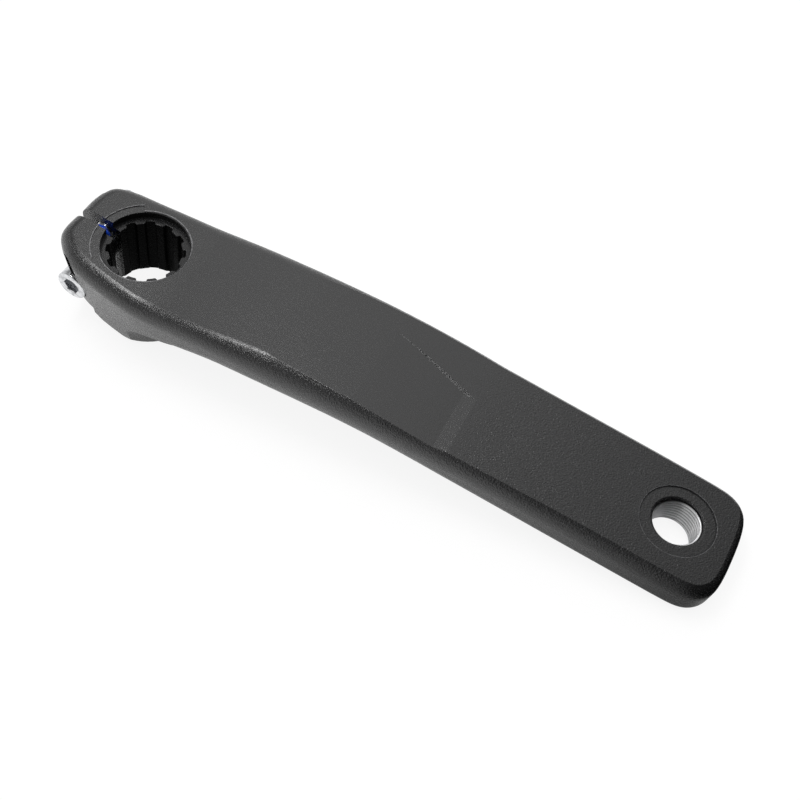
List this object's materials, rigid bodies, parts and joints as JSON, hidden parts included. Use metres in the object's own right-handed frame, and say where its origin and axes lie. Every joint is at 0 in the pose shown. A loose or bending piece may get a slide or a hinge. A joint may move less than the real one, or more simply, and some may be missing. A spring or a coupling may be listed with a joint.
{
  "type": "bicycle crank arm",
  "caption": "Forged crank arm with a split splined clamp head, opposed pinch bolts, a swept flat arm and a threaded pedal hole.",
  "frame": {"origin": "on the bore axis, level with the clamp head's outer face", "axes": "+Z along the bore axis, out of the outer face where the pedal goes in; +X along the arm from the bore to the pedal hole; +Y across the arm, towards the outer pinch bolt's head"},
  "size_m": [0.218, 0.0417, 0.0346],
  "materials": {
    "arm_black": "fine blasted and black anodised",
    "bolt_steel": "zinc plated, satin"
  },
  "bodies": {
    "root": {"crank_arm": "arm_black", "pinch_bolt_outer": "bolt_steel", "pinch_bolt_inner": "bolt_steel"}
  },
  "joints": []
}
